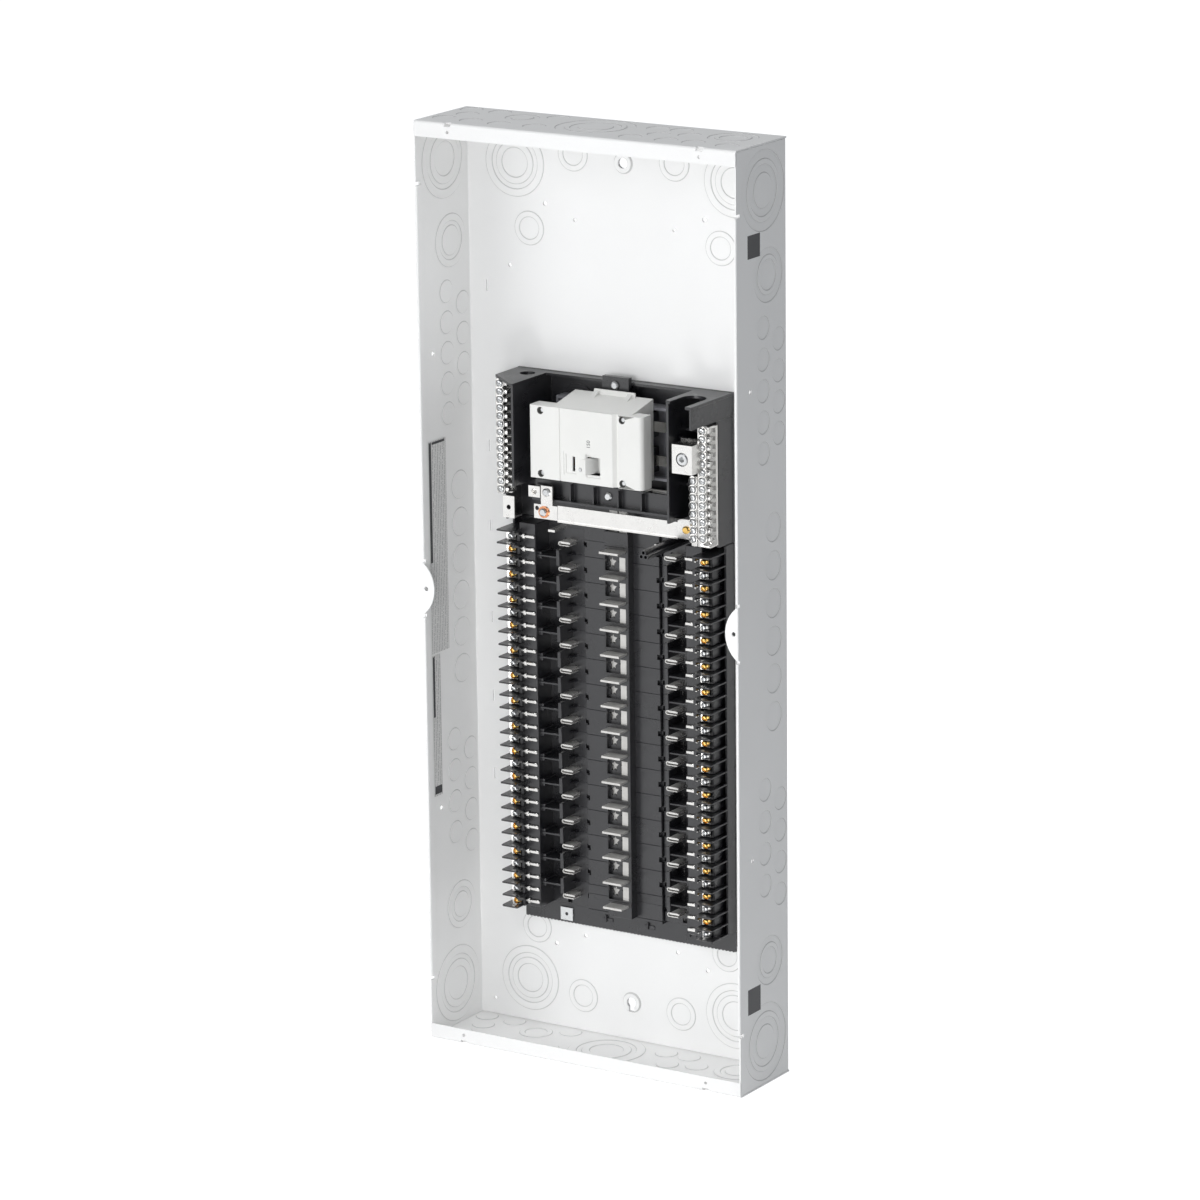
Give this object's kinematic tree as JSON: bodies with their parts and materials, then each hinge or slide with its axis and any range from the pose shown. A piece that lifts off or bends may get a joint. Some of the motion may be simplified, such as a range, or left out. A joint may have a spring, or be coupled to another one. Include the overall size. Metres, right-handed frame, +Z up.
{
  "type": "electrical panel enclosure",
  "caption": "Recessed steel load centre box with moulded plug-in interior, neutral bars and a side-lying two-pole main breaker, cover off.",
  "frame": {"origin": "middle of the box's back, on its outside face, which lies on the wall", "axes": "+Y goes into the wall, +Z is up along the box's long side, +X is to the right seen from the front"},
  "size_m": [0.3556, 0.0921, 0.9144],
  "materials": {
    "white_paint": "satin powder coat",
    "black_plastic": "moulded, semi-matt",
    "white_plastic": "moulded, fine texture",
    "grey_plastic": "moulded, semi-matt",
    "tinned_metal": "tin plated",
    "copper": "bare copper",
    "brass": "plated screw",
    "zinc_steel": "zinc plated",
    "label_film": "printed film",
    "arc_fibre": "vulcanised fibre"
  },
  "bodies": {
    "enclosure": {"arc_chute_lower": "arc_fibre", "arc_chute_upper": "arc_fibre", "back_and_side_wrap": "white_paint", "bonding_screw_lower": "zinc_steel", "bonding_screw_upper": "zinc_steel", "bottom_end_wall": "white_paint", "bottom_flange_strip": "black_plastic", "bottom_hold_down_plate": "zinc_steel", "bus_bar_phase_a": "tinned_metal", "bus_bar_phase_b": "tinned_metal", "centre_bus_base": "black_plastic", "copper_bonding_ring": "copper", "cover_screw_1": "zinc_steel", "cover_screw_2": "zinc_steel", "cover_screw_3": "zinc_steel", "cover_screw_4": "zinc_steel", "cover_support_post": "black_plastic", "fixed_contact_lower": "copper", "fixed_contact_upper": "copper", "ground_lug_block": "tinned_metal", "ledge_housing_screw": "zinc_steel", "left_bar_bracket": "tinned_metal", "left_bonding_plate": "tinned_metal", "left_terminal_rail_lower": "black_plastic", "left_terminal_rail_middle": "black_plastic", "left_terminal_rail_upper": "black_plastic", "line_lug_lower": "tinned_metal", "line_lug_screw_lower": "zinc_steel", "line_lug_screw_upper": "zinc_steel", "line_lug_upper": "tinned_metal", "load_terminal_lower": "tinned_metal", "load_terminal_upper": "tinned_metal", "main_breaker_case": "grey_plastic", "main_breaker_cover": "white_plastic", "main_breaker_housing": "black_plastic", "main_neutral_lug": "tinned_metal", "main_neutral_lug_screw": "zinc_steel", "neutral_bar_left": "tinned_metal", "neutral_bar_right": "tinned_metal", "neutral_cross_strap": "tinned_metal", "neutral_strip_left": "tinned_metal", "neutral_strip_right": "tinned_metal", "right_link_screw": "brass", "right_link_tab": "tinned_metal", "right_terminal_rail_lower": "black_plastic", "right_terminal_rail_middle": "black_plastic", "right_terminal_rail_upper": "black_plastic", "top_end_wall": "white_paint", "top_housing_screw": "zinc_steel", "trip_unit_lower": "black_plastic", "trip_unit_upper": "black_plastic", "wiring_label_lower": "label_film", "wiring_label_upper": "label_film"},
    "handle": {"main_breaker_handle": "white_plastic"},
    "button": {"push_to_trip_button": "zinc_steel"},
    "trip_bar": {"trip_bar": "black_plastic"},
    "contact_carrier": {"contact_cross_bar": "black_plastic", "moving_contact_arm_lower": "copper", "moving_contact_arm_upper": "copper"}
  },
  "joints": [
    {"name": "handle_swing", "type": "hinge", "parent": "enclosure", "child": "handle", "pos_m": [0.0045, -0.052, 0.1365], "axis": [0, 0, 1], "range_deg": [0, 28]},
    {"name": "cross_bar_turn", "type": "hinge", "parent": "enclosure", "child": "contact_carrier", "pos_m": [0, -0.03, 0.154], "axis": [0, 0, 1], "range_deg": [-21, 0]},
    {"name": "trip_button_push", "type": "slide", "parent": "enclosure", "child": "button", "axis": [0, 1, 0], "range_m": [0, 0.002], "stiffness_N_per_m": 300, "springref_m": -0.0005},
    {"name": "trip_bar_turn", "type": "hinge", "parent": "enclosure", "child": "trip_bar", "pos_m": [-0.0183, -0.044, 0.154], "axis": [0, 0, 1], "range_deg": [0, 17.5]}
  ],
  "couplings": [
    {"joint": "cross_bar_turn", "follows": "handle_swing", "ratio": -0.75},
    {"joint": "trip_bar_turn", "follows": "trip_button_push", "rad_per_m": 150}
  ]
}
